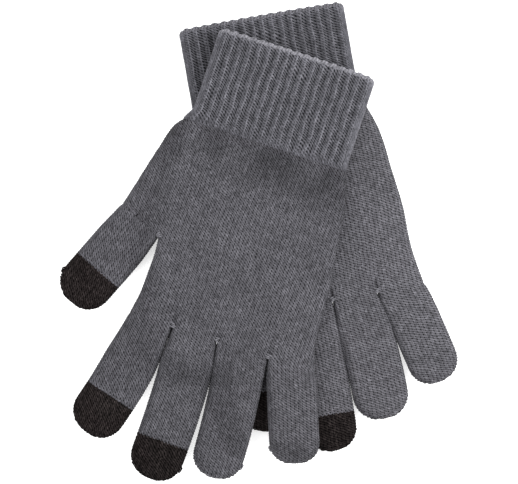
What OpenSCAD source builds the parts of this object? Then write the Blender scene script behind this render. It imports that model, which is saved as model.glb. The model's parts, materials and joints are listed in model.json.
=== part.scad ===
// A pair of knitted touchscreen gloves, one lying slantwise on the other.
// X is to the right, Y towards the cuffs, Z up from the table.
// Each glove is drawn flat in a frame of its own: the middle of the cuff's
// edge is the origin and the fingers point along -Y. Then it is laid in place.

/* [Knit] */
// Thickness of one layer of knit
wall = 1.2; // [1:0.1:1.3]
// Height of an empty glove lying flat: two layers and the hollow
flat_t = 7.2; // [7:0.1:7.6]
// Air between the two gloves, and between pieces that fold
gap = 0.4; // [0.3:0.1:0.6]

/* [Cuff] */
// Width of the upper cuff
upper_cuff_w = 76.4; // [74:0.2:78]
// Width of the lower cuff
lower_cuff_w = 77.6; // [74:0.2:79]
// Bend of the lower cuff at the wrist
lower_cuff_bend = -1.6; // [-2:0.1:0]
// Length of the ribbed cuff, its turned edge included
cuff_l = 45; // [40:1:48]
// Distance from one rib to the next
rib_pitch = 4.4; // [4:0.1:4.6]
// Depth of the furrow between two ribs
rib_depth = 0.5; // [0.2:0.1:0.6]
// Thickness of the turned edge
edge_d = 2.2; // [1.8:0.1:2.6]
// Thickness of an elastic thread
elastic_d = 0.5; // [0.3:0.1:0.5]
// Number of elastic threads in a cuff
elastic_count = 6; // [3:1:8]

/* [Fingers] */
// Distance from the cuff's edge to the knuckle line of the upper glove
upper_knuckle = 139.6; // [138:0.2:141]
// Distance from the cuff's edge to the knuckle line of the lower glove
lower_knuckle = 136.8; // [136:0.2:139]
// Thickness of a crotch stitch
stitch_d = 0.9; // [0.6:0.1:1]

/* [Lay] */
// Turn of the upper glove
upper_turn = -18.2; // [-19:0.1:-17]
// Turn of the lower glove
lower_turn = 11.2; // [10:0.1:12]
// Width of the slope where the upper glove sinks to the table
drape_w = 16; // [14:1:18]

/* [Hidden] */

knit_grey = [0.37, 0.37, 0.39];
rib_grey = [0.34, 0.34, 0.37];
conductive_black = [0.13, 0.12, 0.12];
stitch_grey = [0.45, 0.45, 0.47];
elastic_white = [0.8, 0.8, 0.8];

half_t = flat_t / 2;
level = flat_t + gap;       // underside of the upper glove where it is carried
skew_l = 9;                 // the knit turns from knuckle line to finger axis over this length
side_steps = 4;             // facets round each side of a flat tube

// A glove: [cuff x, cuff y, turn, carried by the other one, distance to the knuckles,
//           width of the cuff, middle of the cuff at the wrist, bend of the cuff]
UPPER = [18, 88.1, upper_turn, 1, upper_knuckle, upper_cuff_w, 0, 0];
LOWER = [1.5, 104.9, lower_turn, 0, lower_knuckle, lower_cuff_w, -1.9, lower_cuff_bend];

// The thumb's seam on the hand, from its outer end to the crotch
seam_out = [-56.4, -91.8];
seam_in = [-35, -102.1];
seam_mid = (seam_out + seam_in) / 2;
seam_turn = -atan2(seam_out.y - seam_in.y, seam_in.x - seam_out.x);

// Left and right side of the hand: [y, left, right], the seam's ends included
hand_side = [[-cuff_l - gap, -41.2, 39.2], [-52, -45.5, 41.6], [-60, -48.3, 43.9],
             [-69, -50.6, 45.2], [-79, -53.1, 46.2], [seam_out.y, seam_out.x, 47.8],
             [seam_in.y, seam_in.x, 49.1], [-110, -34.2, 49.5], [-120, -34.6, 50.2],
             [-129, -35.3, 51.4]];
seam_row = 5;               // the side wall is open from this row to the next

// A finger: [base, half width at the base, turn at the base, turn at the tip,
//            half width, length to the black tip, whole length, turn of its seam]
U_THUMB = [seam_mid, 11.4, -22, -23.4, 12.4, 31, 51.4, seam_turn];
U_INDEX = [[-26.4, -upper_knuckle], 10.6, -8, -17, 12.4, 41, 61.8, 0];
U_MIDDLE = [[-4.7, -upper_knuckle], 10.7, 0, 2, 12.6, 53, 71.8, 0];
U_RING = [[18.8, -upper_knuckle], 12.1, 9, 1, 12, 40, 62.2, 0];
U_LITTLE = [[43.3, -upper_knuckle], 11.7, 18.5, 23, 12, 30, 46.2, 0];
L_THUMB = U_THUMB;
L_INDEX = [[-26.4, -lower_knuckle], 10.6, -8, -12, 12.2, 36, 55.2, 0];
L_MIDDLE = [[-4.8, -lower_knuckle], 10.6, 0, -2, 12.2, 52, 70, 0];
L_RING = [[17.6, -lower_knuckle], 10.4, 8, 1, 12, 40, 59.2, 0];
L_LITTLE = [[39.6, -lower_knuckle], 10.8, 13.2, 13.5, 11.8, 32, 48.2, 0];

// What holds the upper glove up: round bars [from, to, radius] over the lower glove
SUPPORT = [[[0, 30], [0, -40], 40], [[-33, -60], [-45, -90], 17], [[-46, -93], [-61, -133], 16],
           [[2, -60], [6, -115], 43], [[-27, -140], [-33, -181], 12.6],
           [[-5, -140], [-6, -194], 12.6]];

function lerp(a, b, t) = a + (b - a) * t;
function smooth(t) = let (s = max(0, min(1, t))) s * s * (3 - 2 * s);
function heading(a) = [sin(a), -cos(a)];

function into(g, p) = let (d = p - [g[0], g[1]], c = cos(g[2]), s = sin(g[2]))
    [c * d.x + s * d.y, -s * d.x + c * d.y];
function bar_distance(p, bar) = let (ab = bar[1] - bar[0],
    t = max(0, min(1, ((p - bar[0]) * ab) / (ab * ab)))) norm(p - bar[0] - t * ab) - bar[2];
function unheld(p, i = 0) = i == len(SUPPORT) ? 1 :
    (1 - smooth(1 - bar_distance(p, SUPPORT[i]) / drape_w)) * unheld(p, i + 1);
// Height that the lower glove lifts the upper one by, at a place on the table
function lift(x, y) = level * (1 - unheld(into(LOWER, [x, y])));

// A point of a glove's own frame, laid in place
function laid(g, p) = let (c = cos(g[2]), s = sin(g[2]),
    x = g[0] + c * p.x - s * p.y, y = g[1] + s * p.x + c * p.y)
    [x, y, p.z + (g[3] ? lift(x, y) : 0)];

// Section of a flat tube from side a to side b, as [across, up]
function section(a, b, ht, n) = let (r = min(ht, (b - a) / 2), step = 180 / side_steps)
    concat([for (k = [0:side_steps]) [b - r + r * cos(step * k - 90), r * sin(step * k - 90)]],
           [for (k = [1:n]) [lerp(b - r, a + r, k / (n + 1)), r]],
           [for (k = [0:side_steps]) [a + r - r * sin(step * k), r * cos(step * k)]],
           [for (k = [1:n]) [lerp(a + r, b - r, k / (n + 1)), -r]]);

function quad(a, b, c, d) = [[a, b, c], [a, c, d]];
// Faces of one skin: rings of n points, facing out or in, with a hole [row, from, to]
function skin(first, rings, n, out, hole) = [for (i = [0:rings - 2], j = [0:n - 1])
    if (!(i == hole[0] && j >= hole[1] && j < hole[2]))
    let (k = (j + 1) % n, p = first + i * n, q = p + n)
    each (out ? quad(p + j, q + j, q + k, p + k) : quad(p + j, p + k, q + k, q + j))];
// Faces between the two skins round the end ring that starts at p and at q
function rim(p, q, n, start) = [for (j = [0:n - 1]) let (k = (j + 1) % n)
    each (start ? quad(p + j, p + k, q + k, q + j) : quad(p + k, p + j, q + j, q + k))];
// Faces round a hole in both skins
function hole_rim(n, q, hole) = let (a = hole[0] * n, b = a + n) concat(
    quad(a + hole[1], b + hole[1], q + b + hole[1], q + a + hole[1]),
    quad(b + hole[2], a + hole[2], q + a + hole[2], q + b + hole[2]),
    [for (j = [hole[1]:hole[2] - 1]) each quad(a + j + 1, a + j, q + a + j, q + a + j + 1)],
    [for (j = [hole[1]:hole[2] - 1]) each quad(b + j, b + j + 1, q + b + j + 1, q + b + j)]);

function middle_of(ring) = [for (i = [0:len(ring) - 1]) 1] * ring / len(ring);

// A knitted tube between an outer and an inner list of rings
module knit_tube(outer, inner, closed = false, hole = [-1, 0, 0]) {
    n = len(outer[0]);
    m = len(outer);
    q = n * m;
    last = q - n;
    points = concat([for (ring = outer) each ring], [for (ring = inner) each ring],
                    closed ? [middle_of(outer[m - 1]), middle_of(inner[m - 1])] : []);
    end = closed ? [for (j = [0:n - 1]) let (k = (j + 1) % n)
                    each [[last + k, last + j, 2 * q], [q + last + j, q + last + k, 2 * q + 1]]]
                 : rim(last, q + last, n, false);
    polyhedron(points, concat(skin(0, m, n, true, hole), skin(q, m, n, false, hole),
                              rim(0, q, n, true), end,
                              hole[0] < 0 ? [] : hole_rim(n, q, hole)));
}

// One ring of a finger, at a distance t from its base
function finger_ring(g, f, t, hw, ht) = let (
    axis = lerp(f[2], f[3], t / f[6]), across = lerp(f[7], axis, min(1, t / skew_l)),
    c = f[0] + t * heading(lerp(f[2], f[3], t / f[6] / 2)))
    [for (s = section(-hw, hw, ht, 3))
     laid(g, [c.x + s.x * cos(across), c.y + s.x * sin(across), half_t + s.y])];
function finger_hw(f, t) = lerp(f[1], f[4], smooth(t / 20));
// Rings along the straight part, from t0 to t1
function tube_rings(g, f, t0, t1, count, inset) = [for (i = [0:count]) let (t = lerp(t0, t1, i / count))
    finger_ring(g, f, t, finger_hw(f, t) - inset, half_t - inset)];
// Rings of the round end
function dome_rings(g, f, inset) = [for (q = [25, 48, 66, 80]) let (r = f[4] - inset)
    finger_ring(g, f, f[6] - f[4] + r * sin(q), r * cos(q), half_t - inset)];

module finger_tube(g, f) {
    knit_tube(tube_rings(g, f, gap, f[5], 5, 0), tube_rings(g, f, gap, f[5], 5, wall));
}
module finger_tip(g, f) {
    knit_tube(concat(tube_rings(g, f, f[5], f[6] - f[4], 1, 0), dome_rings(g, f, 0)),
              concat(tube_rings(g, f, f[5], f[6] - f[4], 1, wall), dome_rings(g, f, wall)), true);
}
module whole_finger(g, f) {
    knit_tube(concat(tube_rings(g, f, gap, f[6] - f[4], 5, 0), dome_rings(g, f, 0)),
              concat(tube_rings(g, f, gap, f[6] - f[4], 5, wall), dome_rings(g, f, wall)), true);
}

// Hand of a glove: open at the cuff, at the knuckles and along the thumb's seam
function hand_rows(g) = concat(hand_side, [[-g[4], -37.2, g[3] ? 55.1 : 50.6]]);
function hand_rings(g, n, inset) = [for (row = hand_rows(g))
    [for (s = section(row[1] + inset, row[2] - inset, half_t - inset, n))
     laid(g, [s.x, row[0], half_t + s.y])]];
module hand(g) {
    n = g[3] ? 14 : 3;
    left = side_steps + 1 + n;
    knit_tube(hand_rings(g, n, 0), hand_rings(g, n, wall), hole = [seam_row, left, left + side_steps]);
}

// Moves flat pieces of a glove's own frame into place, where it lies level
module lay(g) {
    translate([g[0], g[1], g[3] ? level : 0]) rotate([0, 0, g[2]]) children();
}

// Puts a piece of the cuff in place, drawn with the middle of the cuff's edge at the origin.
// A bent cuff turns about its corner at the wrist, so that it keeps clear of the hand.
module lay_cuff(g) {
    clear = g[5] / 2 * sin(abs(g[7]));
    lay(g) translate([g[6], clear - cuff_l, half_t]) rotate([0, 0, g[7]])
        translate([0, cuff_l, 0]) children();
}

// Outline across a ribbed cuff: a rib stands out between two furrows
rib_count = floor((upper_cuff_w - 2 * half_t) / rib_pitch);
function ribbed(side) = let (start = -rib_count / 2 * rib_pitch) [for (i = [0:rib_count - 1],
    p = [[0.12, 0], [0.3, 1], [0.7, 1], [0.88, 0]])
    [start + (i + p[0]) * rib_pitch, side * (half_t - rib_depth * (1 - p[1]))]];
function backwards(list) = [for (i = [len(list) - 1:-1:0]) list[i]];
module cuff_outline(w) {
    r = half_t - rib_depth;
    polygon(concat([for (a = [-75:30:75]) [w / 2 - r + r * cos(a), r * sin(a)]],
                   backwards(ribbed(1)),
                   [for (a = [105:30:255]) [-w / 2 + r + r * cos(a), r * sin(a)]], ribbed(-1)));
}
module cuff(g) {
    lay_cuff(g) translate([0, -edge_d, 0]) rotate([90, 0, 0])
        linear_extrude(cuff_l - edge_d) difference() {
            cuff_outline(g[5]);
            stadium(g[5] / 2 - wall - rib_depth, half_t - wall);
        }
}
module stadium(half_w, half_h) {
    square([2 * (half_w - half_h), 2 * half_h], center = true);
    for (x = [-1, 1]) translate([x * (half_w - half_h), 0]) circle(r = half_h, $fn = 32);
}

// A round yarn that runs once round a flat tube: two straights and two bends
module yarn_loop(half_w, half_h, d) {
    for (side = [-1, 1]) {
        translate([0, 0, side * half_h]) rotate([0, 90, 0])
            cylinder(d = d, h = 2 * (half_w - half_h), center = true, $fn = 24);
        translate([side * (half_w - half_h), 0, 0]) rotate([90, 0, 0]) rotate([0, 0, -90 * side])
            rotate_extrude(angle = 180, $fn = 32) translate([half_h, 0]) circle(d = d, $fn = 24);
    }
}
module cuff_edge(g) {
    lay_cuff(g) translate([0, -edge_d / 2, 0])
        yarn_loop((g[5] - edge_d) / 2, half_t - edge_d / 2, edge_d);
}
module cuff_elastic(g) {
    depth = (half_t - rib_depth + half_t - wall) / 2;
    spacing = (cuff_l - edge_d) / elastic_count;
    lay_cuff(g) for (i = [0:elastic_count - 1]) translate([0, -edge_d - (i + 0.5) * spacing, 0])
        yarn_loop(g[5] / 2 - half_t + depth, depth, elastic_d);
}

// Three turns of yarn that tie the two layers together at each crotch
module crotch_stitches(g, crotches) {
    for (p = crotches, i = [0:2]) {
        foot = laid(g, [p.x, p.y + (i + 1) * 1.3 * stitch_d, wall + gap]);
        translate(foot) cylinder(d = stitch_d, h = flat_t - 2 * (wall + gap) - 1.5, $fn = 16);
    }
}
thumb_crotch = seam_in + [5, 0];
upper_crotches = [thumb_crotch, [-15.6, -upper_knuckle], [6.3, -upper_knuckle],
                  [31.3, -upper_knuckle]];
lower_crotches = [thumb_crotch, [-15.5, -lower_knuckle], [6.4, -lower_knuckle],
                  [28.4, -lower_knuckle]];

color(knit_grey) hand(UPPER);  // upper_hand
color(rib_grey) cuff(UPPER);  // upper_cuff
color(knit_grey) cuff_edge(UPPER);  // upper_cuff_edge
color(elastic_white) cuff_elastic(UPPER);  // upper_cuff_elastic
color(knit_grey) finger_tube(UPPER, U_THUMB);  // upper_thumb
color(conductive_black) finger_tip(UPPER, U_THUMB);  // upper_thumb_tip
color(knit_grey) finger_tube(UPPER, U_INDEX);  // upper_index
color(conductive_black) finger_tip(UPPER, U_INDEX);  // upper_index_tip
color(knit_grey) finger_tube(UPPER, U_MIDDLE);  // upper_middle
color(conductive_black) finger_tip(UPPER, U_MIDDLE);  // upper_middle_tip
color(knit_grey) whole_finger(UPPER, U_RING);  // upper_ring
color(knit_grey) whole_finger(UPPER, U_LITTLE);  // upper_little
color(stitch_grey) crotch_stitches(UPPER, upper_crotches);  // upper_crotch_stitches
color(knit_grey) hand(LOWER);  // lower_hand
color(rib_grey) cuff(LOWER);  // lower_cuff
color(knit_grey) cuff_edge(LOWER);  // lower_cuff_edge
color(elastic_white) cuff_elastic(LOWER);  // lower_cuff_elastic
color(knit_grey) finger_tube(LOWER, L_THUMB);  // lower_thumb
color(conductive_black) finger_tip(LOWER, L_THUMB);  // lower_thumb_tip
color(knit_grey) finger_tube(LOWER, L_INDEX);  // lower_index
color(conductive_black) finger_tip(LOWER, L_INDEX);  // lower_index_tip
color(knit_grey) finger_tube(LOWER, L_MIDDLE);  // lower_middle
color(conductive_black) finger_tip(LOWER, L_MIDDLE);  // lower_middle_tip
color(knit_grey) whole_finger(LOWER, L_RING);  // lower_ring
color(knit_grey) whole_finger(LOWER, L_LITTLE);  // lower_little
color(stitch_grey) crotch_stitches(LOWER, lower_crotches);  // lower_crotch_stitches
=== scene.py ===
"""Looks of a pair of knitted touchscreen gloves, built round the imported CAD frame."""

import json
import math

import bpy
import numpy as np
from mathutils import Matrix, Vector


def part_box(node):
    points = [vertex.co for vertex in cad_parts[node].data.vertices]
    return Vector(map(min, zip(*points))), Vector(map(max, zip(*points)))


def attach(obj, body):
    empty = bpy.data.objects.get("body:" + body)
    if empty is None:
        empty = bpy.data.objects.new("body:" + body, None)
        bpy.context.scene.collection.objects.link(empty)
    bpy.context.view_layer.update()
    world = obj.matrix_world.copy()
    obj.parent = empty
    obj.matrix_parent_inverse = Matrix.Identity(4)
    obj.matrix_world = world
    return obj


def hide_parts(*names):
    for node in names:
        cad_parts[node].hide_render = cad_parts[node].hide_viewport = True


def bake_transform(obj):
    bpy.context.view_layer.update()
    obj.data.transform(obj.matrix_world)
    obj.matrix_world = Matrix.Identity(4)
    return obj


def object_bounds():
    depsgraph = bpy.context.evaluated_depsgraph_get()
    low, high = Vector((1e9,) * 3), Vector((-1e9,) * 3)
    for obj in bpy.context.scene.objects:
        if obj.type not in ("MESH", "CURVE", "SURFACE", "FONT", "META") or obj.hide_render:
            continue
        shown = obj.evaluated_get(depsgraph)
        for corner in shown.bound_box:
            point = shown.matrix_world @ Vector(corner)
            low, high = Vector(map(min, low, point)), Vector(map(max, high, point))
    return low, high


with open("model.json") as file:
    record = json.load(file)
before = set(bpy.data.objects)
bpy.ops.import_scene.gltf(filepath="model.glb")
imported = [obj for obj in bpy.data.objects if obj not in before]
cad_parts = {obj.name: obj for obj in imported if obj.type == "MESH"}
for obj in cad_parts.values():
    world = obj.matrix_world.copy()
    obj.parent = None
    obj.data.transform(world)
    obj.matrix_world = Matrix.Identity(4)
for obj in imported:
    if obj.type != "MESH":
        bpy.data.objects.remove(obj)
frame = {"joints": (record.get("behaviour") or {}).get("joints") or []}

cad_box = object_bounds()
rng = np.random.default_rng(11)

# ---------------------------------------------------------------- sizes, in millimetres

MM = 0.001
THICK = (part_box("lower_hand")[1].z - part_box("lower_hand")[0].z) / MM
HALF = THICK / 2
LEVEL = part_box("upper_cuff")[0].z / MM  # underside of the glove that is carried
WALL = 1.2
WALE = 1.83  # one column of stitches
COURSE = 1.25  # one row of stitches
PER_WALE = 4  # mesh columns on a wale
PER_COURSE = 3  # mesh rows on a course
ARC = 28  # mesh columns round each side of a flat tube
EDGE_R = 4.4  # how far a flat tube's rounding reaches in from its side
CROTCH_R = 1.4  # the same, where two fingers meet
TIP_SQUARE = 2.25  # a fingertip's outline is a little squarer than a half circle, which is 2
STITCH_DEPTH = 0.24
SPLIT = 0.62  # the V's left leg takes this share of a wale
SPIRAL = {"upper": -0.04, "lower": 0.2}  # courses that the knit of a hand climbs in a wale
SLANT_LEFT, SLANT_RIGHT = 1.5, 1.4  # courses that each leg falls or climbs in a wale
LINING_ROWS, LINING_COLS = 6, 4  # the lining is that much coarser than the knit

CUFF_L = 45.0
WRIST = -45.4  # where the rib ends and the jersey starts
SEAM_OUT = np.array([-56.4, -91.8])  # the thumb's seam, from its outer end
SEAM_IN = np.array([-35.0, -102.1])  # to the crotch
DRAPE = 16.0  # beyond its support, the upper glove comes down over this length
INDEX_LEFT = -37.2  # left end of the index finger's base line
UPPER_HAND_COURSES, SEAM_COURSES = 38, 8  # courses above the thumb's seam, and along it
THUMB_COURSE = 41  # where the thumb's count of courses starts
MIDDLE_COLS = (-64, 77)  # mesh columns over the hand's middle, where stitches line up
LEFT_COLS, RIGHT_COLS = 41, 33  # mesh columns in the hand's margins
FINGER_COLS = 41
OPEN_FROM, OPEN_TO = 12, 16  # columns of the hand's left side that are open at the thumb
CLOSING_ROWS = 9  # the lining ends this many mesh rows before a closed tip
JOINING_L = 1.2  # the relief evens out over this length, to meet a neighbour

RIBS_TOP, RIBS_SIDE = 16, 3
COLS_PER_RIB = 12
RIB_RISE, RIB_DEPTH = 0.25, 0.3  # how far the ribs stand out, and the grooves sink
CUFF_COURSES = 34
EDGE_D = 2.3
CORNER_R = 3.0  # the edge's corners are rounded off
CUFF_ARCH = 0.4  # and its middle stands out

YARN_SIDES = 8
ELASTIC_COUNT, ELASTIC_D = 6, 0.5
ELASTIC_IN = 1.05  # how deep its middle lies under the rib's outer surface

# The hand's sides, as (y, x): left above the thumb, left below it, and right
LEFT_UPPER = [(WRIST, -41.4), (-48.5, -44.1), (-53, -46.2), (-60, -48.1), (-69, -50.6), (-79, -53.1),
              tuple(SEAM_OUT[::-1])]
LEFT_LOWER = [tuple(SEAM_IN[::-1]), (-110, -34.5), (-120, -34.9), (-129, -35.4)]
RIGHT = {"upper": [(WRIST, 39.2), (-52, 41.6), (-60, 43.9), (-69, 45.2), (-79, 46.2), (-91.8, 47.8),
                   (-102.1, 49.1), (-110, 49.5), (-120, 50.2), (-129, 51.4)],
         "lower": [(WRIST, 39.2), (-52, 41.7), (-60, 44.2), (-69, 45.7), (-79, 46.5), (-91.8, 47.9),
                   (-102.1, 48.6), (-112, 48.5), (-120, 48.8), (-128, 49.8)]}

# What carries the upper glove: bars (from, to, radius) over the lower one
SUPPORT = [((0, 30), (0, -40), 40), ((-33, -60), (-45, -90), 17), ((-46, -93), (-61, -133), 16),
           ((2, -60), (6, -115), 43), ((-27, -140), (-33, -181), 12.6), ((-5, -140), (-6, -194), 12.6)]


def smooth(t):
    t = np.clip(t, 0, 1)
    return t * t * (3 - 2 * t)


def rounding(d, r):
    """Height of a rounded edge at a distance d inside it, as a share of the full height."""
    return np.sqrt(np.clip(1 - (1 - np.clip(d / r, 0, 1)) ** 2, 0, 1))


def curve(points, at):
    """A smooth curve through points (at, value)."""
    p = np.array(sorted(points), float)
    slope = np.gradient(p[:, 1], p[:, 0])
    i = np.clip(np.searchsorted(p[:, 0], at) - 1, 0, len(p) - 2)
    h = p[i + 1, 0] - p[i, 0]
    t = (at - p[i, 0]) / h
    return ((2 * t**3 - 3 * t**2 + 1) * p[i, 1] + (t**3 - 2 * t**2 + t) * h * slope[i]
            + (3 * t**2 - 2 * t**3) * p[i + 1, 1] + (t**3 - t**2) * h * slope[i + 1])


def ripple(x, y, size, seed):
    """Slow waves between about -1 and 1 that never repeat over the glove."""
    waves = np.random.default_rng(seed)
    total = 0
    for _ in range(7):
        angle, phase = waves.uniform(0, 2 * math.pi, 2)
        k = 2 * math.pi / (size * waves.uniform(0.7, 1.5))
        total = total + np.sin(k * (x * math.cos(angle) + y * math.sin(angle)) + phase)
    return total / 3.5


# ---------------------------------------------------------------- gloves and how they lie


class Glove:
    """One glove: its own frame (cuff's edge at the origin, fingers towards -y) and its cut."""

    def __init__(self, side, hand_body, knuckle, right_end, crotches, fingers, cuff):
        self.side, self.hand_body, self.knuckle = side, hand_body, knuckle
        self.right_end, self.crotches, self.fingers, self.cuff = right_end, crotches, fingers, cuff
        self.carried = side == "upper"
        hinge = self.joint("ring_curl")
        right = -np.array(hinge["axis"][:2])
        self.right = right / np.linalg.norm(right)
        self.cuffward = np.array([-self.right[1], self.right[0]])
        ring_middle = (crotches[1] + crotches[2]) / 2
        self.origin = (np.array(hinge["pos_m"][:2]) / MM - ring_middle * self.right
                       + knuckle * self.cuffward)

    def joint(self, name):
        full = f"{self.side}_{name}"
        return next((j for j in frame["joints"] if j["name"] == full), None)

    def to_table(self, x, y):
        return (self.origin[0] + x * self.right[0] + y * self.cuffward[0],
                self.origin[1] + x * self.right[1] + y * self.cuffward[1])

    def from_table(self, x, y):
        dx, dy = x - self.origin[0], y - self.origin[1]
        return dx * self.right[0] + dy * self.right[1], dx * self.cuffward[0] + dy * self.cuffward[1]

    def lay(self, x, y, up):
        """Points of the glove's own frame, laid in place, in millimetres."""
        tx, ty = self.to_table(x, y)
        return np.stack([tx, ty, up + (lift(tx, ty) if self.carried else 0)], -1)


# A finger: turn at the base and at the tip in degrees, half width, length to the black
# cap (0 without one), whole length. A cuff: width, shift to the right, turn in degrees
UPPER = Glove("upper", "upper_hand", 139.6, 55.1, [-15.6, 6.3, 31.3], {
    "thumb": (-22, -23.6, 13.1, 31, 50.9),
    "index": (-5.2, -19.5, 13.0, 41, 61.8),
    "middle": (4.8, -4.0, 12.9, 53, 72.0),
    "ring": (9, 1, 12.3, 0, 62.5),
    "little": (18.5, 23, 12.0, 0, 46.6)}, (77.0, 0.3, 0.0))
LOWER = Glove("lower", "lower_glove", 136.8, 51.2, [-15.5, 6.9, 28.4], {
    "thumb": (-22, -23.4, 12.4, 31, 51.4),
    "index": (-8, -12, 12.2, 36, 55.2),
    "middle": (0, -2.4, 12.3, 52, 69.6),
    "ring": (7.2, -1.8, 13.3, 0, 59.4),
    "little": (13.2, 11.2, 12.2, 0, 48.2)}, (79.1, -1.2, -1.2))


def lift(x, y):
    """How high the lower glove holds the upper one at a place on the table."""
    px, py = LOWER.from_table(x, y)
    unheld = 1
    for a, b, r in SUPPORT:
        abx, aby = b[0] - a[0], b[1] - a[1]
        t = np.clip(((px - a[0]) * abx + (py - a[1]) * aby) / (abx**2 + aby**2), 0, 1)
        d = np.hypot(px - a[0] - t * abx, py - a[1] - t * aby) - r
        unheld = unheld * (1 - smooth(1 - d / DRAPE))
    return LEVEL * (1 - unheld)


def wander(x, y):
    """How far the knit strays at a place, in wales and in courses: it is never quite even."""
    across = 0.2 * ripple(x, y, 50, 24) + 0.1 * ripple(x, y, 9, 25)
    along = 0.5 * ripple(x, y, 55, 23) + 0.25 * ripple(x, y, 10, 22)
    return across, along


# ---------------------------------------------------------------- knitted tubes


def jersey(u, v):
    """Height of jersey knit, 0 to 1, at wale u and course v: each wale is a column of Vs."""
    w = u % 1
    left = w < SPLIT
    leg = np.sin(np.pi * np.where(left, w / SPLIT, (w - SPLIT) / (1 - SPLIT)))
    phase = v - np.where(left, SLANT_LEFT * w, SLANT_LEFT * SPLIT - SLANT_RIGHT * (w - SPLIT))
    ridge = 0.5 + 0.5 * np.cos(2 * np.pi * phase)
    return np.maximum(leg, 0) ** 0.7 * np.where(left, 0.2 + 0.8 * ridge, 0.2 + 0.4 * ridge)


def jersey_relief(u, v, flush):
    """Depth of the knit below its own tops; where flush is 0 it is even, to meet a neighbour."""
    return STITCH_DEPTH * (1 - jersey(u, v) * flush - 0.5 * (1 - flush))


def side_depth(up):
    """How much deeper the stitches are on a tube's sides, where they stand apart."""
    return 1 + 0.9 * np.sqrt(np.clip(1 - up**2, 0, 1))


def grid_faces(rows, cols, first, flip, hole):
    """Corners of a grid that closes round its columns, and the same without the wrap."""
    i, j = np.meshgrid(np.arange(rows - 1), np.arange(cols), indexing="ij")
    keep = np.ones(i.shape, bool)
    if hole:
        keep[hole[0]:hole[1], hole[2]:hole[3]] = False
    i, j = i[keep], j[keep]
    order = [(i, j), (i + 1, j), (i + 1, j + 1), (i, j + 1)]
    if flip:
        order = order[::-1]
    wrapped = np.stack([first + a * cols + b % cols for a, b in order], -1)
    plain = np.stack([a * (cols + 1) + b for a, b in order], -1)
    return wrapped, plain


def build_mesh(name, points, polygons, ways, flat=()):
    """A mesh object, in metres. polygons is a list of index arrays, ways their knit coordinates,
    and flat the places in that list of the faces that stay flat, at a rim."""
    mesh = bpy.data.meshes.new(name)
    mesh.vertices.add(len(points))
    mesh.vertices.foreach_set("co", (points * MM).astype(np.float32).ravel())
    sizes = np.concatenate([np.full(len(p), p.shape[1]) for p in polygons])
    corners = np.concatenate([p.ravel() for p in polygons])
    mesh.loops.add(len(corners))
    mesh.loops.foreach_set("vertex_index", corners.astype(np.int32))
    mesh.polygons.add(len(sizes))
    mesh.polygons.foreach_set("loop_start", np.concatenate([[0], np.cumsum(sizes)[:-1]]).astype(np.int32))
    mesh.polygons.foreach_set("loop_total", sizes.astype(np.int32))
    mesh.update(calc_edges=True)
    layer = mesh.uv_layers.new(name="Knit")
    layer.data.foreach_set("uv", np.concatenate([w.reshape(-1, 2) for w in ways]).astype(np.float32).ravel())
    smooth_faces = np.concatenate([np.full(len(p), k not in flat) for k, p in enumerate(polygons)])
    mesh.polygons.foreach_set("use_smooth", smooth_faces)
    obj = bpy.data.objects.new(name, mesh)
    bpy.context.scene.collection.objects.link(obj)
    return obj


def grid_normals(points):
    """Unit normals of a grid of points that closes round its columns."""
    down = np.gradient(points, axis=0)
    across = (np.roll(points, -1, 1) - np.roll(points, 1, 1)) / 2
    n = np.cross(down, across)
    return n / np.maximum(np.linalg.norm(n, axis=-1, keepdims=True), 1e-9)


def rim_faces(outer_first, outer_cols, inner_first, inner_cols, columns, flip):
    """Faces that join a fine row of the knit to a coarse row of the lining."""
    faces = []
    for c in columns:
        fine = [outer_first + (c * LINING_COLS + k) % outer_cols for k in range(LINING_COLS + 1)]
        face = fine[::-1] + [inner_first + c, inner_first + (c + 1) % inner_cols]
        faces.append(face[::-1] if flip else face)
    return np.array(faces)


def side_faces(column, rows, outer_cols, inner_start, inner_cols, flip):
    """Faces that join a fine column of the knit to a coarse column of the lining."""
    faces = []
    inner_column = column // LINING_COLS
    for r in range(rows[0] // LINING_ROWS, rows[1] // LINING_ROWS):
        fine = [(r * LINING_ROWS + k) * outer_cols + column for k in range(LINING_ROWS + 1)]
        face = fine[::-1] + [inner_start + r * inner_cols + inner_column,
                             inner_start + (r + 1) * inner_cols + inner_column]
        faces.append(face[::-1] if flip else face)
    return np.array(faces)


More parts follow.
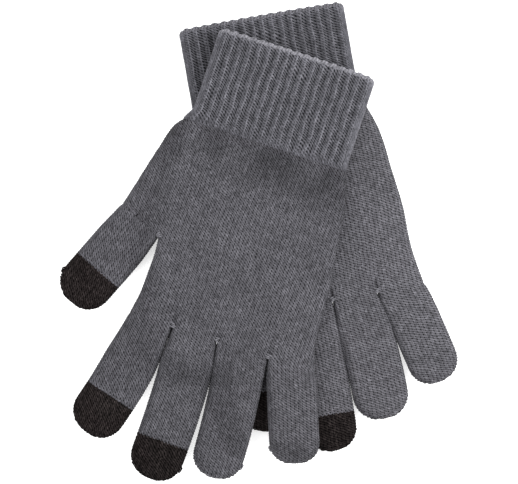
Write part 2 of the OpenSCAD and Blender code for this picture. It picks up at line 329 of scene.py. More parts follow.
def knit_tube(name, base, way, relief, closed=False, hole=None):
    """A knitted tube. base: smooth outer points (rows, columns, 3); way: knit coordinates
    (rows, columns + 1, 2); relief: how far the surface lies under base."""
    rows, cols = base.shape[:2]
    normals = grid_normals(base)
    skin = base - normals * relief[..., None]
    lining_rows = np.arange(0, rows, LINING_ROWS)
    if closed:
        lining_rows = lining_rows[lining_rows < rows - CLOSING_ROWS]
    lining = (base - normals * WALL)[lining_rows][:, ::LINING_COLS]
    lining_way = way[lining_rows][:, ::LINING_COLS]
    inner_rows, inner_cols = lining.shape[:2]
    start = rows * cols
    points = np.concatenate([skin.reshape(-1, 3), lining.reshape(-1, 3)])
    flat_way, flat_lining_way = way.reshape(-1, 2), lining_way.reshape(-1, 2)
    corners, plain = grid_faces(rows, cols, 0, False, hole)
    polygons, ways = [corners], [flat_way[plain]]
    inner_hole = hole and (hole[0] // LINING_ROWS, hole[1] // LINING_ROWS,
                           hole[2] // LINING_COLS, hole[3] // LINING_COLS)
    corners, plain = grid_faces(inner_rows, inner_cols, start, True, inner_hole)
    polygons.append(corners)
    ways.append(flat_lining_way[plain])
    last, inner_last = (rows - 1) * cols, start + (inner_rows - 1) * inner_cols
    rims = [rim_faces(0, cols, start, inner_cols, range(inner_cols), True)]
    if closed:
        rims.append(np.arange(last, last + cols)[None, :])
        rims.append(np.arange(inner_last, inner_last + inner_cols)[None, ::-1])
    else:
        rims.append(rim_faces(last, cols, inner_last, inner_cols, range(inner_cols), False))
    if hole:
        span = range(inner_hole[2], inner_hole[3])
        for row, flip in ((hole[0], False), (hole[1], True)):
            rims.append(rim_faces(row * cols, cols, start + row // LINING_ROWS * inner_cols,
                                  inner_cols, span, flip))
        for column, flip in ((hole[2], True), (hole[3], False)):
            rims.append(side_faces(column, hole[:2], cols, start, inner_cols, flip))
    per_point = np.concatenate([way[:, :-1].reshape(-1, 2), lining_way[:, :inner_cols].reshape(-1, 2)])
    for rim in rims:
        polygons.append(rim)
        ways.append(per_point[rim])
    return build_mesh(name, points, polygons, ways, flat=range(2, len(polygons)))


def section(left, right, left_r, right_r, tops, arc=ARC):
    """Sections of a flat tube, one a row, from the lower left corner over the top.
    Returns across, up (1 is the full half height) and the way round in millimetres."""
    q = np.linspace(-math.pi / 2, math.pi / 2, arc + 1)[None, :-1]
    side_l = math.pi / 2 * (left_r + HALF)
    side_r = math.pi / 2 * (right_r + HALF)
    a1 = left + left_r * (1 - np.cos(q))
    a3 = right - right_r * (1 - np.cos(q))
    bottoms = tops[:, ::-1]
    flat = tops[:, :-1]
    share = (q + math.pi / 2) / math.pi
    across = np.concatenate([a1, flat, a3, bottoms[:, :-1]], 1)
    ones = np.ones_like(flat)
    rows = np.ones_like(left)
    up = np.concatenate([rows * np.sin(q), ones, -rows * np.sin(q), -ones], 1)
    round_l = tops[:, :1] - side_l * (1 - share)
    round_r = tops[:, -1:] + side_r * share
    under = tops[:, -1:] + side_r + (tops[:, -1:] - bottoms)
    way = np.concatenate([round_l, flat, round_r, under], 1)
    return across, up, way


def stations(marks, per_mark):
    """Rows from mark to mark, with per_mark rows between each pair."""
    parts = [np.linspace(a, b, n + 1)[:-1] for a, b, n in zip(marks, marks[1:], per_mark)]
    return np.concatenate(parts + [[marks[-1]]])


# ---------------------------------------------------------------- the hand


def hand_courses(glove):
    """Courses of a whole hand; the stretch below the thumb has an even number of them."""
    below = 2 * round((glove.knuckle + SEAM_IN[1]) / COURSE / 2)
    return UPPER_HAND_COURSES + SEAM_COURSES + below


def hand(glove):
    marks = [WRIST, SEAM_OUT[1], SEAM_IN[1], -glove.knuckle]
    below = hand_courses(glove) - UPPER_HAND_COURSES - SEAM_COURSES
    courses = [UPPER_HAND_COURSES, SEAM_COURSES, below]
    y = stations(marks, [c * PER_COURSE for c in courses])[:, None]
    seam_rows = (courses[0] * PER_COURSE, (courses[0] + courses[1]) * PER_COURSE)
    row = np.arange(len(y))
    in_seam = ((row >= seam_rows[0]) & (row <= seam_rows[1]))[:, None]
    end_right = glove.right_end
    left_end = (-glove.knuckle, INDEX_LEFT)
    seam = SEAM_OUT[0] + (SEAM_OUT[1] - y) / (SEAM_OUT[1] - SEAM_IN[1]) * (SEAM_IN[0] - SEAM_OUT[0])
    left = np.where(y > SEAM_OUT[1], curve(LEFT_UPPER, y), seam)
    left = np.where(y < SEAM_IN[1], curve(LEFT_LOWER + [left_end], y), left)
    right = curve(RIGHT[glove.side] + [(-glove.knuckle, end_right)], y)
    left_r = np.where(y < SEAM_IN[1], CROTCH_R + (EDGE_R - CROTCH_R) * smooth((SEAM_IN[1] - y) / 14), EDGE_R)
    right_r = np.full_like(left, EDGE_R)

    # Columns: stitches line up over the middle, and the margins take up the rest
    step = WALE / PER_WALE
    middle = np.arange(*MIDDLE_COLS) * step
    to_left = np.linspace(0, 1, LEFT_COLS)[None, :-1]
    to_right = np.linspace(0, 1, RIGHT_COLS)[None, 1:]
    tops = np.concatenate([left + left_r + (middle[0] - left - left_r) * to_left,
                           np.broadcast_to(middle, (len(y), len(middle))),
                           middle[-1] + (right - right_r - middle[-1]) * to_right], 1)
    x, up, way = section(left, right, left_r, right_r, tops)

    # Along the thumb's seam the side stays open: the two layers end at the seam
    k = np.arange(ARC)
    edge = np.clip(np.where(k < ARC // 2, OPEN_FROM - k, k - OPEN_TO) / OPEN_FROM, 0, 1)
    open_x = left + EDGE_R * edge[None, :]
    x[:, :ARC] = np.where(in_seam, open_x, x[:, :ARC])
    open_up = np.clip((k - ARC / 2) / 2, -1, 1)[None, :]
    up[:, :ARC] = np.where(in_seam, open_up, up[:, :ARC])

    full_y = np.broadcast_to(y, x.shape)
    height = np.ones_like(x)
    axis = math.radians(glove.fingers["thumb"][0])
    from_outline = (x - SEAM_OUT[0]) * math.cos(axis) + (full_y - SEAM_OUT[1]) * math.sin(axis)
    near = np.hypot(x - SEAM_IN[0], full_y - SEAM_IN[1])
    in_seam_full = np.broadcast_to(in_seam, x.shape)
    height = np.where(in_seam_full, rounding(np.maximum(from_outline, 0.02), EDGE_R)
                      * (0.06 + 0.94 * rounding(near, CROTCH_R)), height)
    ramp = smooth(1 - (full_y + glove.knuckle) / 8)
    for c in glove.crotches:
        height = height * (1 - ramp * (1 - rounding(np.abs(x - c), CROTCH_R)))
    swell = swelling(glove, x, full_y)
    up_mm = HALF + up * height * HALF + np.where(up > 0, up, 0) * swell
    base = glove.lay(x, full_y, up_mm)

    across, along = wander(x, full_y)
    u = way / WALE
    v = row[:, None] / PER_COURSE + SPIRAL[glove.side] * u + closed_round(along)
    u = u + closed_round(across)
    to_seam = np.where(in_seam_full, np.hypot(x - seam, 0) / JOINING_L, 9)
    flush = (smooth((full_y + glove.knuckle) / JOINING_L) * smooth((WRIST - full_y) / JOINING_L)
             * smooth(to_seam))
    relief = jersey_relief(u[:, :-1], v[:, :-1], flush) * np.where(in_seam_full, 1, side_depth(up))
    obj = knit_tube(f"{glove.side}_hand_knit", base, np.stack([u, v], -1), relief,
                    hole=(*seam_rows, OPEN_FROM, OPEN_TO))
    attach(obj, glove.hand_body)
    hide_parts(f"{glove.side}_hand")
    obj.data.materials.append(GREY[glove.side])


def closed_round(values):
    """The same values with the first column again at the end, where a tube closes."""
    return np.concatenate([values, values[:, :1]], 1)


def swelling(glove, x, y):
    """How far the top layer rises or sinks, in millimetres: it never lies quite flat."""
    if glove.carried:
        pleats = np.sin(2 * np.pi * (x - 0.15 * y) / 11 + 2.5 * ripple(x, y, 40, 9))
        gathered = smooth(1 - np.abs(y - WRIST + 7) / 21)
        return 0.45 * ripple(x, y, 34, 3) + 0.2 * ripple(x, y, 13, 4) + 0.3 * pleats * gathered
    return -0.18 + 0.14 * ripple(x, y, 30, 5)


# ---------------------------------------------------------------- fingers


def finger_base(glove, name):
    """Ends of a finger's base line, left and right, in the glove's own frame."""
    if name == "thumb":
        return SEAM_OUT, SEAM_IN
    ends = [INDEX_LEFT] + glove.crotches + [glove.right_end]
    k = ["index", "middle", "ring", "little"].index(name)
    return np.array([ends[k], -glove.knuckle]), np.array([ends[k + 1], -glove.knuckle])


def finger_place(glove, name, t, x):
    """Where a finger's point t along it and x across it lies, in the glove's own frame."""
    turn0, turn1, _, _, length = glove.fingers[name]
    left_end, right_end = finger_base(glove, name)
    base, across = (left_end + right_end) / 2, right_end - left_end
    turn = np.radians(turn0 + (turn1 - turn0) * t / length)
    chord = np.radians(turn0 + (turn1 - turn0) * t / length / 2)
    level = math.atan2(across[1], across[0])
    tilt = level + (turn - level) * np.clip(t / 9, 0, 1)
    return base[0] + t * np.sin(chord) + x * np.cos(tilt), base[1] - t * np.cos(chord) + x * np.sin(tilt)


def finger_sections(glove, name):
    """Smooth points of a whole finger, its knit coordinates, its rows' distances t, and up."""
    _, _, half_w, cap, length = glove.fingers[name]
    left_end, right_end = finger_base(glove, name)
    base_x, base_w = (left_end + right_end)[0] / 2, np.linalg.norm(right_end - left_end) / 2
    straight = length - half_w
    marks = [0, cap, straight] if cap else [0, straight]
    counts = [2 * max(1, round((b - a) / COURSE / 2)) for a, b in zip(marks, marks[1:])]
    t = stations(marks, [c * PER_COURSE for c in counts])
    v = np.arange(len(t)) / PER_COURSE
    q = np.radians(np.arange(2, 89, 2.0))
    t = np.concatenate([t, straight + half_w * np.sin(q)])
    v = np.concatenate([v, v[-1] + half_w * np.sin(q) / COURSE])
    dome = (1 - np.sin(q) ** TIP_SQUARE) ** (1 / TIP_SQUARE)
    shrink = np.concatenate([np.ones(len(t) - len(q)), dome])
    t, v, shrink = t[:, None], v[:, None], shrink[:, None]
    first = THUMB_COURSE if name == "thumb" else hand_courses(glove)

    # A finger widens a little at once, so that no slit shows at the crotch, then slowly
    at_once = 0.35
    widen_l = 26 if glove.carried and name == "index" else 17
    plain_w = base_w + at_once * smooth(t / 3) + (half_w - base_w - at_once) * smooth(t / widen_l)
    w = plain_w * shrink
    left_r0 = EDGE_R if name in ("index", "thumb") else CROTCH_R
    right_r0 = EDGE_R if name == "little" else CROTCH_R
    left_r = np.minimum(left_r0 + (EDGE_R - left_r0) * smooth(t / 16), w)
    right_r = np.minimum(right_r0 + (EDGE_R - right_r0) * smooth(t / 16), w)
    share = np.linspace(0, 1, FINGER_COLS)[None, :]
    tops = -w + left_r + (2 * w - left_r - right_r) * share
    x, up, way = section(-w, w, left_r, right_r, tops)
    u = (way + (base_x if name != "thumb" else 0)) / WALE
    bump = 0.4 * loop_ends(u[:, :-1], v, len(t) - len(q))
    across, along = wander(*finger_place(glove, name, t, x))
    v = first + v + SPIRAL[glove.side] * u + closed_round(along)
    u = u + closed_round(across)
    teeth = COURSE * 0.4 * (2 * np.abs(2 * (u[:, :-1] % 1) - 1) - 1)
    teeth = teeth * np.clip(1 - np.abs(t - cap) / (2 * COURSE), 0, 1) if cap else 0
    px, py = finger_place(glove, name, t + teeth + bump * (1 - shrink**2),
                          x + bump * np.sign(x) * (x / w) ** 2)
    tall = shrink**0.45
    wobble = (1 - 0.5 * smooth(t / 10)) * swelling(glove, px, py)
    middle = HALF * (0.35 + 0.65 * tall)
    up_mm = middle + up * HALF * tall + np.where(up > 0, up, 0) * wobble
    return glove.lay(px, py, up_mm), u, v, t[:, 0], up


def loop_ends(u, v, start):
    """Small bumps on the closing rows of a fingertip, where the loops are drawn together."""
    row = np.arange(u.shape[0])[:, None]
    closing = smooth((row - start) / 8)
    bumps = np.sin(2 * np.pi * u * 0.83 + 1.7 * np.floor(v / 2)) * np.cos(2 * np.pi * v * 0.5)
    return closing * bumps


def finger(glove, name):
    points, u, v, t, up = finger_sections(glove, name)
    cap = glove.fingers[name][3]
    flush = smooth(t[:, None] / JOINING_L)
    relief = jersey_relief(u[:, :-1], v[:, :-1], flush) * side_depth(up)
    way = np.stack([u, v], -1)
    body = f"{glove.side}_{name}"
    free = glove.joint(f"{name}_curl")
    rider = body if free else glove.hand_body
    cut = int(np.argmin(np.abs(t - cap))) if cap else len(t) - 1
    tube = knit_tube(f"{body}_knit", points[:cut + 1], way[:cut + 1], relief[:cut + 1], closed=not cap)
    if free:
        fold(tube, free)
    else:
        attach(tube, rider)
    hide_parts(body)
    tube.data.materials.append(GREY[glove.side])
    if cap:
        tip = knit_tube(f"{body}_cap", points[cut:], way[cut:], relief[cut:], closed=True)
        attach(tip, rider)
        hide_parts(f"{body}_tip")
        tip.data.materials.append(BLACK)


def fold(obj, joint):
    """Bakes a piece's placement into its mesh; the joint's axis is worked out but not used."""
    axis = np.array([joint["axis"][0], joint["axis"][1], 0.0])
    axis /= np.linalg.norm(axis)
    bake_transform(obj)


# ---------------------------------------------------------------- cuffs


def cuff_sections(glove, y):
    """Points of the cuff's smooth outer surface at rows y, and its way round in wales."""
    width, shift, bend = glove.cuff
    half = width / 2
    flare = smooth((y + 38) / (WRIST + 38))
    straight_y = y  # the rows before the edge's arch moves them
    ends_l, ends_r = LEFT_UPPER[0][1], RIGHT[glove.side][0][1]
    r = np.full_like(y, HALF)
    share = np.linspace(0, 1, RIBS_TOP * COLS_PER_RIB + 1)[None, :]

    def ring(left, right):
        tops = left + r + (right - left - 2 * r) * share
        return section(left, right, r, r, tops, RIBS_SIDE * COLS_PER_RIB)

    x, up, _ = ring(np.full_like(y, -half), np.full_like(y, half))
    end_x, _, _ = ring(np.full_like(y, ends_l), np.full_like(y, ends_r))
    inside = np.clip((np.abs(x) - half + CORNER_R) / CORNER_R, 0, 1)
    arch = CUFF_ARCH * (1 - (x / half) ** 2) - CORNER_R * 0.8 * (1 - np.sqrt(1 - inside**2))
    y = y + arch * smooth((y + 12) / 12)
    b = math.radians(bend)
    clear = half * math.sin(abs(b))
    from_wrist = y + CUFF_L
    bent_x = shift + x * math.cos(b) - from_wrist * math.sin(b)
    bent_y = clear - CUFF_L + x * math.sin(b) + from_wrist * math.cos(b)
    aside = smooth((np.abs(x) - 20) / (half - 20))
    px = bent_x + (end_x - bent_x) * flare * aside
    py = bent_y + (y - bent_y) * smooth((straight_y + 34) / (WRIST + 34))
    count = x.shape[1]
    ribs = np.arange(count + 1) / COLS_PER_RIB - RIBS_SIDE
    return px, py, up, np.broadcast_to(3 * ribs, (len(y), count + 1))


def rib_height(u):
    """Height of the rib at wale u, 0 to 1: two knit wales stand out, one purl wale sinks."""
    b = (u / 3 + 0.34) % 1
    return smooth(b / 0.2) * smooth((0.74 - b) / 0.24)


def cuff_surface(glove, y):
    """The cuff's smooth outer surface at rows y: points, up, and its way round in wales."""
    px, py, up, u = cuff_sections(glove, y)
    to_hand = smooth((y + 34) / (WRIST + 34))
    swell = 0.15 + 0.15 * ripple(px, py, 30, 8) if glove.carried else 0
    rise = swell * np.clip(up * 1.5, 0, 1) * (1 - to_hand)
    rise = rise + swelling(glove, px, py) * np.maximum(up, 0) * to_hand
    across, along = 0.15 * ripple(px, py, 14, 27), 0.4 * ripple(px, py, 12, 26)
    return (glove.lay(px, py, HALF + up * HALF + rise), up, u + closed_round(across),
            closed_round(along))


def cuff(glove):
    rows = CUFF_COURSES * PER_COURSE
    y = np.linspace(-EDGE_D * 0.35, WRIST, rows + 1)[:, None]
    base, up, u, stray = cuff_surface(glove, y)
    v = np.arange(rows + 1)[:, None] / PER_COURSE + stray
    uu, vv = u[:, :-1], v[:, :-1]
    rib = rib_height(uu)
    rib_end = 7 + 2.5 * np.sin(np.round(uu / 3) * 2.4)
    fade = smooth((y - WRIST) / rib_end) * smooth(-y / 2.5)
    stitch = jersey(uu * 2 / 3, vv) * rib + (0.3 + 0.3 * np.cos(2 * np.pi * vv)) * (1 - rib)
    even = STITCH_DEPTH / 2
    stitch_depth = even + (0.16 * (1 - stitch) - even) * smooth((y - WRIST) / JOINING_L)
    relief = fade * (RIB_DEPTH * (1 - rib) - RIB_RISE * np.clip(up * 1.5, 0, 1) * rib) + stitch_depth
    obj = knit_tube(f"{glove.side}_cuff_rib", base, np.stack([u, v], -1), relief)
    settle_cuff(obj, glove, f"{glove.side}_cuff", RIB[glove.side])


def settle_cuff(obj, glove, node, material):
    joint = glove.joint("cuff_fold")
    if joint:
        fold(obj, joint)
    else:
        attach(obj, glove.hand_body)
    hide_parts(node)
    obj.data.materials.append(material)


def cuff_edge(glove):
    """The rolled edge of the cuff: a round yarn-wrapped rim that rises over each rib."""
    y = np.array([[0.5], [0.0]]) + (0 if glove.carried else 0.6)
    ring, _, u, _ = cuff_surface(glove, y)
    normals = grid_normals(ring)[0]
    inward = ring[1] - ring[0]
    inward /= np.linalg.norm(inward, axis=-1, keepdims=True)
    wales = u[0]
    sides = 16
    a = np.linspace(0, 2 * math.pi, sides, endpoint=False)[:, None]
    rib = rib_height(wales[:-1])[None, :]
    twist = 0.5 + 0.5 * np.cos(2 * np.pi * wales[:-1] * 1.5 + a * 1.0)
    radius = EDGE_D / 2 * (0.93 + 0.12 * rib + 0.07 * twist)
    sunk = EDGE_D / 2 + 0.35 * (1 - rib_height(wales[:-1]))
    centre = ring[0] - normals * EDGE_D / 2 + inward * sunk[:, None]
    points = (centre[None] + normals[None] * (radius * np.cos(a))[..., None]
              - inward[None] * (radius * np.sin(a))[..., None])
    cols = points.shape[1]
    i, j = np.meshgrid(np.arange(sides), np.arange(cols), indexing="ij")
    i, j = i.ravel(), j.ravel()
    order = [(i, j), (i, j + 1), (i + 1, j + 1), (i + 1, j)]
    corners = np.stack([(b % sides) * cols + c % cols for b, c in order], -1)
    way = np.stack([np.stack([wales[c], b / sides * 3], -1) for b, c in order], 1)
    obj = build_mesh(f"{glove.side}_cuff_roll", points.reshape(-1, 3), [corners], [way])
    settle_cuff(obj, glove, f"{glove.side}_cuff_edge", ROLL if glove.carried else RIM)


# ---------------------------------------------------------------- yarn and threads


def yarn(points, radius, sides=YARN_SIDES):
    """A closed loop of round yarn through points: rings of a tube, as (points, corners)."""
    n = len(points)
    along = np.roll(points, -1, 0) - np.roll(points, 1, 0)
    along /= np.linalg.norm(along, axis=1, keepdims=True)
    side = np.cross(along, [0.0, 1.0, 0.2])
    side /= np.linalg.norm(side, axis=1, keepdims=True)
    other = np.cross(along, side)
    a = np.linspace(0, 2 * math.pi, sides, endpoint=False)
    twist = 1 + 0.1 * np.cos(3 * a[None, :] + np.arange(n)[:, None] * 0.9)
    ring = (points[:, None] + side[:, None] * (radius * np.cos(a) * twist)[..., None]
            + other[:, None] * (radius * np.sin(a) * twist)[..., None])
    i, j = np.meshgrid(np.arange(n), np.arange(sides), indexing="ij")
    i, j = i.ravel(), j.ravel()
    corners = np.stack([i * sides + j, i * sides + (j + 1) % sides,
                        (i + 1) % n * sides + (j + 1) % sides, (i + 1) % n * sides + j], -1)
    return ring.reshape(-1, 3), corners[:, ::-1]


def yarn_piece(name, loops, radius, turn):
    """One object of many closed yarns; turn is the knit coordinate's step along a yarn."""
    points, faces, ways, first = [], [], [], 0
    for loop in loops:
        tube, corners = yarn(loop, radius)
        points.append(tube)
        faces.append(corners + first)
        ways.append(np.stack([corners % YARN_SIDES / YARN_SIDES, corners // YARN_SIDES * turn], -1))
        first += len(tube)
    return build_mesh(name, np.concatenate(points), [np.concatenate(faces)], [np.concatenate(ways)])


def seam_end(glove, name, side, material):
    """Two curls of yarn at one end of the seam that closes a fingertip."""
    half_w, length = glove.fingers[name][2], glove.fingers[name][4]
    loops = []
    for k in range(2):
        a = np.linspace(0, 2 * math.pi, 24, endpoint=False)
        t = length - 0.75 * half_w + 1.1 * k + 0.6 * np.cos(a)
        x = side * (0.97 * half_w - 0.3 * k + 0.4 * np.sin(a))
        loops.append(glove.lay(*finger_place(glove, name, t, x), HALF + 0.6 * np.sin(a + 2 * k)))
    obj = yarn_piece(f"{glove.side}_{name}_seam_end", loops, 0.38, 0.2)
    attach(obj, f"{glove.side}_{name}")
    obj.data.materials.append(material)


def elastic(glove):
    """Loops of covered elastic, laid into the inside of the cuff's wall."""
    spacing = (CUFF_L - EDGE_D) / ELASTIC_COUNT
    loops = []
    for k in range(ELASTIC_COUNT):
        y = -EDGE_D - (k + 0.5) * spacing
        ring = cuff_surface(glove, np.array([[y + 0.2], [y], [y - 0.2]]))[0]
        loops.append((ring - grid_normals(ring) * ELASTIC_IN)[1, ::6])
    obj = yarn_piece(f"{glove.side}_elastic_loops", loops, ELASTIC_D / 2, 0.5)
    settle_cuff(obj, glove, f"{glove.side}_cuff_elastic", ELASTIC)


def crotch_stitches(glove):
    """Three tying stitches at each crotch, none quite like the next."""
    loops = []
    places = [(c, -glove.knuckle, 0.0) for c in glove.crotches]
    places.append((SEAM_IN[0] + 0.6, SEAM_IN[1] + 0.6, 35.0))
    for x, y, turn in places:
        for k in range(3):
            a = np.linspace(0, 2 * math.pi, 28, endpoint=False)
            lean = math.radians(turn + rng.uniform(-16, 16))
            c, s = math.cos(lean), math.sin(lean)
            across = rng.uniform(1.5, 2.3) * np.cos(a) + rng.uniform(-0.5, 0.5)
            along = 0.1 + 0.8 * k + 0.3 * np.sin(2 * a) * rng.uniform(-1, 1)
            up = HALF + np.where(np.sin(a) > 0, HALF + 0.12, HALF - 0.7) * np.sin(a)
            loops.append(glove.lay(x + across * c - along * s, y + across * s + along * c, up))
    obj = yarn_piece(f"{glove.side}_crotch_yarn", loops, 0.36, 0.2)
    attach(obj, glove.hand_body)
    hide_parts(f"{glove.side}_crotch_stitches")
    obj.data.materials.append(ROLL)


# ---------------------------------------------------------------- materials


class Shader:
    """A material under construction, with short names for the nodes it needs."""

    def __init__(self, name):
        self.material = bpy.data.materials.new(name)
        self.material.use_nodes = True
        self.tree = self.material.node_tree
        self.bsdf = self.tree.nodes["Principled BSDF"]

    def node(self, kind, **settings):
        n = self.tree.nodes.new("ShaderNode" + kind)
        for key, value in settings.items():
            setattr(n, key, value)
        return n

    def put(self, socket, value):
        if isinstance(value, bpy.types.NodeSocket):
            self.tree.links.new(value, socket)
        else:
            socket.default_value = value

    def math(self, operation, *values):
        n = self.node("Math", operation=operation)
        for socket, value in zip(n.inputs, values):
            self.put(socket, value)
        return n.outputs[0]

    def mix(self, share, a, b):
        n = self.node("Mix", data_type="FLOAT")
        self.put(n.inputs[0], share)
        self.put(n.inputs[2], a)
        self.put(n.inputs[3], b)
        return n.outputs[0]

    def noise(self, vector, scale, detail=2.0):
        n = self.node("TexNoise")
        self.put(n.inputs["Vector"], vector)
        n.inputs["Scale"].default_value = scale
        n.inputs["Detail"].default_value = detail
        return n.outputs["Fac"]

    def stitch_chance(self, u, v):
        """A chance value for each half stitch, 0 to 1."""
        cell = self.node("CombineXYZ")
        self.put(cell.inputs[0], self.math("FLOOR", self.math("MULTIPLY", u, 2.0)))
        self.put(cell.inputs[1], self.math("FLOOR", v))
        chance = self.node("TexWhiteNoise", noise_dimensions="2D")
        self.put(chance.inputs["Vector"], cell.outputs[0])
        return chance.outputs["Value"]

    def ramp(self, value, low, high):
        """0 to 1 as a value goes from low to high, eased at both ends."""
        n = self.node("MapRange", interpolation_type="SMOOTHSTEP")
        self.put(n.inputs["Value"], value)
        n.inputs["From Min"].default_value = low
        n.inputs["From Max"].default_value = high
        return n.outputs[0]

    def paint(self, colour, light):
        """The base colour: one colour times a light value that varies."""
        n = self.node("VectorMath", operation="SCALE")
        n.inputs[0].default_value = colour
        self.put(n.inputs["Scale"], light)
        self.put(self.bsdf.inputs["Base Color"], n.outputs[0])

    def scaled(self, vector, scale):
        n = self.node("VectorMath", operation="MULTIPLY")
        self.put(n.inputs[0], vector)
        n.inputs[1].default_value = scale
        return n.outputs[0]


PIT_PLACE = 0.345  # where the pits lie, in courses from a wale's edge
LEG_TONES = (1.38, -0.1)  # on the legs, and painted shade in the pits between them
RIB_SLANT = 2.2  # courses that the legs of a rib climb over its width
EDGE_PLACE = 0.08  # where the painted highlight along each rib's edge lies, as a share of the rib's width
CHAIN_TONES, PLAIN_TONES = (1.62, 0.05), (1.36, 0.42)  # on the yarn, and painted shade in the holes
# Painted shade in the rib's grooves, painted highlight along each rib's edge, and painted highlight on the
# cuff's folded sides
GROOVE_SHADE, EDGE_HIGHLIGHT, SIDE_HIGHLIGHT = 0.68, 1.5, 1.3


def wave(s, phase):
    """A cosine of a phase in turns, brought to 0 to 1."""
    return s.math("MULTIPLY_ADD", s.math("COSINE", s.math("MULTIPLY", phase, 2 * math.pi)), 0.5, 0.5)


def jersey_nodes(s, u, v):
    """Brightness of jersey knit at wale u and course v: slanting legs with painted shade in the pits
    between.
    """
    pits = wave(s, s.math("ADD", s.math("SUBTRACT", v, u), PIT_PLACE))
    columns = s.math("MULTIPLY_ADD", wave(s, u), 0.45, 0.15)
    columns = s.math("MULTIPLY_ADD", wave(s, s.math("MULTIPLY", u, 2.0)), 0.45, columns)
    return s.mix(s.math("MULTIPLY", pits, columns), *LEG_TONES)


def rib_nodes(s, u, v):
    """Brightness of a rib: a painted highlight along its edge, a chain of holes in painted shade and legs
    beside it, then a groove in painted shade; the cuff's folded sides get a painted highlight.
    """
    place = s.math("FRACT", s.math("DIVIDE", u, 3.0))
    slant = wave(s, s.math("MULTIPLY_ADD", place, -RIB_SLANT, v))
    columns = wave(s, s.math("MULTIPLY_ADD", place, 3.0, -3 * EDGE_PLACE))
    holes = s.math("MULTIPLY", s.math("SUBTRACT", 1.0, slant), s.mix(columns, 1.4, 0.6))
    in_chain = s.math("MULTIPLY", s.ramp(place, 0.1, 0.17), s.ramp(place, 0.72, 0.56))
    tone = s.mix(in_chain, s.mix(holes, *PLAIN_TONES), s.mix(holes, *CHAIN_TONES))
    in_groove = s.math("MULTIPLY", s.ramp(place, 0.26, 0.36), s.ramp(place, 0.76, 0.64))
    # painted shade in the groove
    tone = s.math("MULTIPLY", tone, s.mix(in_groove, 1.0, GROOVE_SHADE))
    # painted highlight along the rib's edge
    edge = s.math("MULTIPLY", s.ramp(place, 0.02, 0.08), s.ramp(place, 0.16, 0.1))
    tone = s.mix(edge, tone, EDGE_HIGHLIGHT)
    # painted highlight on the cuff's folded sides
    from_middle = s.math("ABSOLUTE", s.math("SUBTRACT", u, 1.5 * RIBS_TOP))
    side = s.math("MULTIPLY", s.ramp(from_middle, 1.5 * RIBS_TOP + 0.3, 1.5 * RIBS_TOP + 1.8),
                  s.ramp(from_middle, 1.5 * RIBS_TOP + 9.0, 1.5 * RIBS_TOP + 7.0))
    return s.mix(s.math("MULTIPLY", side, 0.7), tone, SIDE_HIGHLIGHT)


def knit_material(name, colour, rib=False, sheen=0.12, strength=1.0, gloss=0.06,
                  hand_shade=False, contrast=1.0):
    """Acrylic knit: Vs of yarn with loose fibres and painted shade between the stitches; hand_shade adds
    painted shade and light below the rib.
    """
    s = Shader(name)
    way = s.node("UVMap", uv_map="Knit").outputs[0]
    parts = s.node("SeparateXYZ")
    s.put(parts.inputs[0], way)
    u, v = parts.outputs[0], parts.outputs[1]
    stray = s.noise(s.scaled(way, (0.5, 0.4, 1.0)), 1.0)
    v_soft = s.math("MULTIPLY_ADD", stray, 1.0, v)
    knit = s.mix(strength, 1.0, jersey_nodes(s, u, v_soft))
    if rib:
        uneven = s.noise(s.scaled(way, (0.33, 0.0, 1.0)), 1.0)
        ends = s.ramp(s.math("MULTIPLY_ADD", uneven, 5.0, v), CUFF_COURSES + 2.5, CUFF_COURSES - 0.5)
        # Over its last courses the rib turns into jersey at 0.8 of its light: painted shade, to meet the
        # darker hand below the rib
        knit = s.mix(ends, s.math("MULTIPLY", knit, 0.8), rib_nodes(s, u, v_soft))
        # painted highlight over the first courses under the rolled edge
        knit = s.math("MULTIPLY", knit, s.mix(s.ramp(v, 3.0, 0.5), 1.0, 1.28))
    fibre = s.noise(s.scaled(way, (5.0, 3.4, 1.0)), 1.0, 2.0)
    tuft = s.noise(s.scaled(way, (1.7, 1.15, 1.0)), 1.0, 2.0)
    heather = s.noise(s.scaled(way, (0.45, 0.33, 1.0)), 1.0, 2.0)
    cloud = s.noise(s.scaled(way, (0.06, 0.045, 1.0)), 1.0, 2.0)
    light = s.math("MULTIPLY", knit, s.mix(fibre, 0.5, 1.5))
    light = s.math("MULTIPLY", light, s.mix(tuft, 0.25, 1.75))
    light = s.math("MULTIPLY", light, s.mix(s.stitch_chance(u, v_soft), 0.75, 1.25))
    light = s.math("MULTIPLY", light, s.mix(heather, 0.6, 1.4))
    light = s.math("MULTIPLY", light, s.mix(cloud, 0.7, 1.3))
    if hand_shade:
        # Painted shade below the rib, where the knit gathers, broken into lengthwise bands of painted shade
        # and painted light as over pleats
        pleats = s.noise(s.scaled(way, (0.13, 0.03, 1.0)), 1.0)
        gathered = s.ramp(v, 26.0, 5.0)
        light = s.math("MULTIPLY", light, s.mix(gathered, 1.0, s.mix(pleats, 0.15, 1.2)))
        # 3% darker from course 46 to 64 on, towards the fingers
        light = s.math("MULTIPLY", light, s.mix(s.ramp(v, 46.0, 64.0), 1.0, 0.97))
    light = s.math("POWER", light, contrast)
    relief = s.math("MULTIPLY_ADD", fibre, 0.6, knit)
    s.paint(colour, light)
    bump = s.node("Bump")
    bump.inputs["Strength"].default_value = 0.35
    bump.inputs["Distance"].default_value = 0.2 * MM
    s.put(bump.inputs["Height"], relief)
    s.put(s.bsdf.inputs["Normal"], bump.outputs[0])
    s.put(s.bsdf.inputs["Roughness"], s.mix(fibre, 0.85, 1.0))
    s.bsdf.inputs["Specular IOR Level"].default_value = gloss
    s.bsdf.inputs["Sheen Weight"].default_value = sheen
    s.bsdf.inputs["Sheen Roughness"].default_value = 0.35
    return s.material


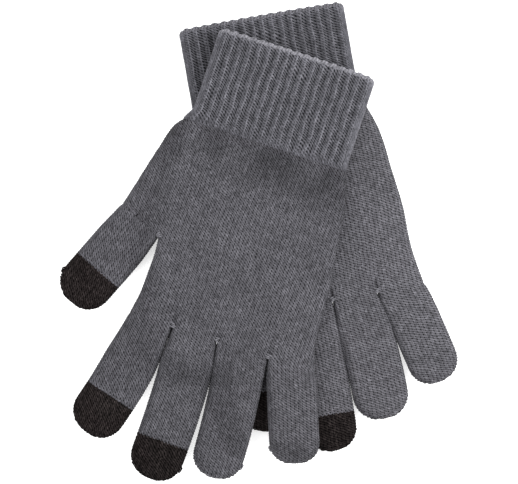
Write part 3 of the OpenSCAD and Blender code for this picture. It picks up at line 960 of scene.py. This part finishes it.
def elastic_material():
    s = Shader("elastic_thread")
    place = s.node("TexCoord").outputs["Object"]
    wrap = s.node("TexWave", wave_type="BANDS", bands_direction="DIAGONAL")
    s.put(wrap.inputs["Vector"], place)
    wrap.inputs["Scale"].default_value = 900
    s.paint((0.95, 0.95, 0.92), s.mix(wrap.outputs["Fac"], 0.55, 0.8))
    s.bsdf.inputs["Roughness"].default_value = 0.6
    return s.material


# Both gloves are of one yarn; the lower glove's knit is painted lighter as painted light, and its rib
# painted darker as painted shade.
GREY = {"upper": knit_material("grey_knit", (0.0585, 0.0573, 0.0642), sheen=0.06, hand_shade=True),
        "lower": knit_material("grey_knit_below_painted_lighter", (0.0645, 0.0632, 0.0705), sheen=0.06)}
RIB = {"upper": knit_material("grey_rib", (0.0665, 0.0659, 0.0747), rib=True, sheen=0.06),
       "lower": knit_material("grey_rib_below_painted_darker", (0.0590, 0.0585, 0.0663), rib=True, sheen=0.06)}
BLACK = knit_material("black_conductive_knit", (0.0110, 0.0090, 0.0088), sheen=0.0, gloss=0.02,
                      contrast=1.6)
# The rolled edges are the gloves' own grey yarn, painted lighter than the knit: painted highlight where the
# roll catches the light. The lower glove's edge is a darker copy, painted shade. The crotch and seam-end
# yarn take the upper edge's colour.
ROLL = knit_material("grey_yarn", (0.135, 0.133, 0.148), strength=0.4)
RIM = knit_material("grey_rim_painted_darker", (0.088, 0.0865, 0.097), strength=0.7)
ELASTIC = elastic_material()

# ---------------------------------------------------------------- the pair

for glove in (LOWER, UPPER):
    hand(glove)
    for name in glove.fingers:
        finger(glove, name)
    cuff(glove)
    cuff_edge(glove)
    crotch_stitches(glove)
    elastic(glove)

SEAM_ENDS = (("thumb", -1, BLACK), ("middle", 1, BLACK), ("ring", 1, ROLL), ("little", -1, ROLL))
for name, side, material in SEAM_ENDS:
    seam_end(UPPER, name, side, material)

# ---------------------------------------------------------------- stage, light and camera


def area_light(name, place, aim, size, power):
    data = bpy.data.lights.new(name, "AREA")
    data.shape, data.size, data.energy = "DISK", size, power
    lamp = bpy.data.objects.new(name, data)
    lamp.location = place
    lamp.rotation_euler = (aim - lamp.location).to_track_quat("-Z", "Y").to_euler()
    bpy.context.scene.collection.objects.link(lamp)


FLOOR_SPAN = 40  # the floor's width, in diagonals of the CAD box
FRAME_SHARE = 1.297  # the picture's width, in widths of the CAD box
AIM_LEVEL = 0.7  # the height that keeps that width, as a share of the CAD box's height
KEY_WAY, FILL_WAY = (1.0, 0.3, 0.85), (-0.7, 0.2, 0.9)


def studio():
    """A pale floor like a light table, soft light from two sides, and the photograph's camera."""
    low, high = (corner.copy() for corner in cad_box)
    middle = (low + high) / 2
    reach = (high - low).length
    bpy.ops.mesh.primitive_plane_add(size=FLOOR_SPAN * reach, location=(middle.x, middle.y, low.z))
    floor = bpy.context.object
    floor.name = "studio_floor"
    s = Shader("studio_floor")
    speck = s.noise(s.node("TexCoord").outputs["Object"], 30.0)
    s.paint((0.93, 0.93, 0.93), s.mix(speck, 0.995, 1.005))
    s.bsdf.inputs["Roughness"].default_value = 0.9
    s.bsdf.inputs["Specular IOR Level"].default_value = 0.0
    s.bsdf.inputs["Emission Color"].default_value = (1, 1, 1, 1)
    s.bsdf.inputs["Emission Strength"].default_value = 0.5  # a light table, so shadows stay faint
    floor.data.materials.append(s.material)

    world = bpy.data.worlds.new("studio_world")
    bpy.context.scene.world = world
    world.use_nodes = True
    background = world.node_tree.nodes["Background"]
    background.inputs["Color"].default_value = (1, 1, 1, 1)
    background.inputs["Strength"].default_value = 1.12
    key_place = middle + type(middle)(KEY_WAY) * reach * 1.5
    area_light("key_light", key_place, middle, reach * 1.5, 4.6)
    fill_place = middle + type(middle)(FILL_WAY) * reach * 2
    area_light("fill_light", fill_place, middle, reach * 2.0, 2.2)

    lens, sensor = 135, 36
    frame_width = (high.x - low.x) * FRAME_SHARE
    distance = frame_width * lens / sensor
    data = bpy.data.cameras.new("camera")
    data.lens, data.sensor_width, data.clip_end = lens, sensor, 100
    camera = bpy.data.objects.new("camera", data)
    camera.location = (middle.x, middle.y, distance + high.z * AIM_LEVEL)
    bpy.context.scene.collection.objects.link(camera)
    bpy.context.scene.camera = camera
    bpy.context.scene.view_settings.view_transform = "Standard"


studio()
